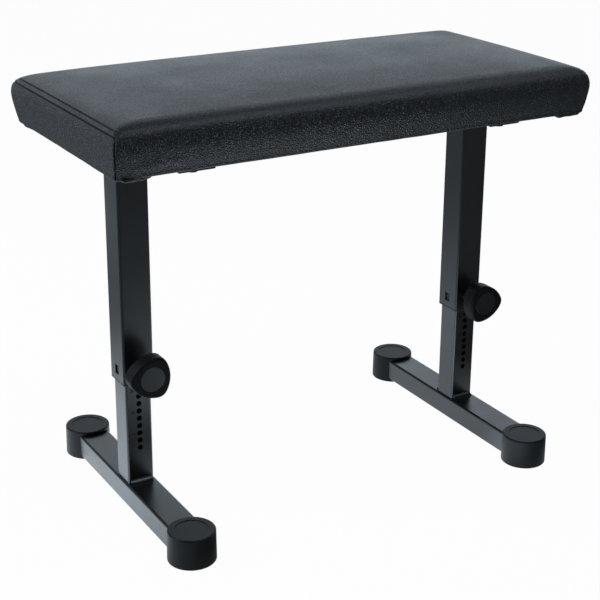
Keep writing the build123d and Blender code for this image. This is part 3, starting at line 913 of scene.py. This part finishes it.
def make_stitches(lines):
    """All the stitches, as one piece."""
    vertices, faces = [], []
    for path, out in lines:
        lengths = np.linalg.norm(np.diff(path, axis=0), axis=1)
        reach = np.concatenate([[0.0], np.cumsum(lengths)])
        count = int((reach[-1] - STITCH_PITCH) // STITCH_PITCH)
        for k in range(count):
            middle = STITCH_PITCH * (k + 1)
            place = Vector([np.interp(middle, reach, path[:, a]) for a in range(3)])
            ahead = Vector([np.interp(middle + STITCH_AHEAD, reach, path[:, a]) for a in range(3)])
            normal = Vector([np.interp(middle, reach, out[:, a]) for a in range(3)]).normalized()
            along = (ahead - place).normalized()
            normal = (normal - along * normal.dot(along)).normalized()
            stitch(place, along, normal, vertices, faces)
    made = new_object("seam_stitches", vertices, faces, thread_finish)
    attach(made, "seat")


make_stitches(seams)


# Floor, light and camera
def make_floor():
    """White where the camera sees it; in reflections a glow with a painted pool of light round the object,
    with brighter patches of painted light and darker patches of painted shadow."""
    f = Finish("pale_floor")
    path = f.node("ShaderNodeLightPath").outputs
    camera_ray = path["Is Camera Ray"]
    seen = f.math("MAXIMUM", camera_ray, path["Is Glossy Ray"])
    seen = f.math("MAXIMUM", seen, path["Is Transmission Ray"])
    f.colour(f.mottled(f.noise(0.3, detail=2.0), (0.84, 0.84, 0.84), (0.86, 0.86, 0.86)))
    f.set(roughness=0.9, specular_ior_level=0.1)
    # Painted pool of light and painted shadows, which only reflections see
    pool = f.levels(f.distance(POOL_CENTRE), *POOL_REACH, 1.0, POOL_DIM)
    for centre, reach, gain in FLOOR_PATCHES:
        pool = f.math("ADD", pool, f.levels(f.distance(centre), *reach, gain, 0.0))
    pool = f.math("MULTIPLY", pool, f.math("SUBTRACT", 1.0, camera_ray))
    glow = f.node("ShaderNodeEmission")
    f.link(f.studio_colour(camera_ray), glow.inputs["Color"])
    f.link(f.math("MAXIMUM", camera_ray, pool), glow.inputs["Strength"])
    mix = f.node("ShaderNodeMixShader")
    f.link(f.math("MULTIPLY", seen, FLOOR_GLOW), mix.inputs["Fac"])
    f.link(f.shader.outputs["BSDF"], mix.inputs[1])
    f.link(glow.outputs["Emission"], mix.inputs[2])
    f.link(mix.outputs["Shader"], f.tree.nodes["Material Output"].inputs["Surface"])
    corners = [(-1, -1, 0), (1, -1, 0), (1, 1, 0), (-1, 1, 0)]
    floor = new_object("floor", [Vector(c) * FLOOR_HALF for c in corners], [(0, 1, 2, 3)], f.material, False)


def make_world():
    """White where the camera sees it, and a studio that is bright behind, dark in front and above."""
    world = bpy.data.worlds.new("studio")
    world.use_nodes = True
    n = Nodes(world.node_tree)
    background = n.tree.nodes["Background"]
    camera_ray = n.node("ShaderNodeLightPath").outputs["Is Camera Ray"]
    direction = n.node("ShaderNodeTexCoord").outputs["Generated"]
    towards = n.node("ShaderNodeVectorMath", operation="DOT_PRODUCT")
    towards.inputs[1].default_value = BACKDROP_SIDE
    n.link(direction, towards.inputs[0])
    around = n.levels(towards.outputs["Value"], *BACKDROP_FADE, *STUDIO_LEVELS, smooth=True)
    height = n.node("ShaderNodeSeparateXYZ")
    n.link(direction, height.inputs[0])
    overhead = n.levels(height.outputs["Z"], *BACKDROP_TOP, 1.0, OVERHEAD_SHARE)
    studio = n.math("MULTIPLY", around, overhead)
    n.link(n.math("MAXIMUM", camera_ray, studio), background.inputs["Strength"])
    n.link(n.studio_colour(camera_ray), background.inputs["Color"])
    bpy.context.scene.world = world


def area_light(name, place, target, size, power):
    """Soft lamp that faces its target."""
    light = bpy.data.lights.new(name, "AREA")
    light.shape = "RECTANGLE"
    light.size, light.size_y = size
    light.energy = power
    light.color = STUDIO_TINT
    lamp = bpy.data.objects.new(name, light)
    lamp.location = place
    lamp.rotation_euler = (Vector(target) - Vector(place)).to_track_quat("-Z", "Y").to_euler()
    bpy.context.scene.collection.objects.link(lamp)


def make_camera():
    """Camera with the photograph's place, directions, lens and shift."""
    forward = Vector((
        math.sin(CAMERA_YAW) * math.cos(CAMERA_PITCH),
        math.cos(CAMERA_YAW) * math.cos(CAMERA_PITCH),
        -math.sin(CAMERA_PITCH),
    ))
    level_right = Vector((math.cos(CAMERA_YAW), -math.sin(CAMERA_YAW), 0.0))
    level_down = forward.cross(level_right)
    right = math.cos(CAMERA_ROLL) * level_right + math.sin(CAMERA_ROLL) * level_down
    up = math.sin(CAMERA_ROLL) * level_right - math.cos(CAMERA_ROLL) * level_down
    data = bpy.data.cameras.new("camera")
    data.sensor_width = SENSOR
    data.lens = FOCAL_PIXELS / PICTURE_SIDE * SENSOR
    data.shift_x = 0.5 - PICTURE_CENTRE[0] / PICTURE_SIDE
    data.shift_y = PICTURE_CENTRE[1] / PICTURE_SIDE - 0.5
    camera = bpy.data.objects.new("camera", data)
    turned = Matrix((right, up, -forward)).transposed().to_4x4()
    camera.matrix_world = Matrix.Translation(CAMERA_PLACE) @ turned
    bpy.context.scene.collection.objects.link(camera)
    bpy.context.scene.camera = camera


make_floor()
make_world()
for lamp_name, settings in LAMPS.items():
    area_light(lamp_name, **settings)
make_camera()
bpy.context.scene.view_settings.view_transform = "Standard"
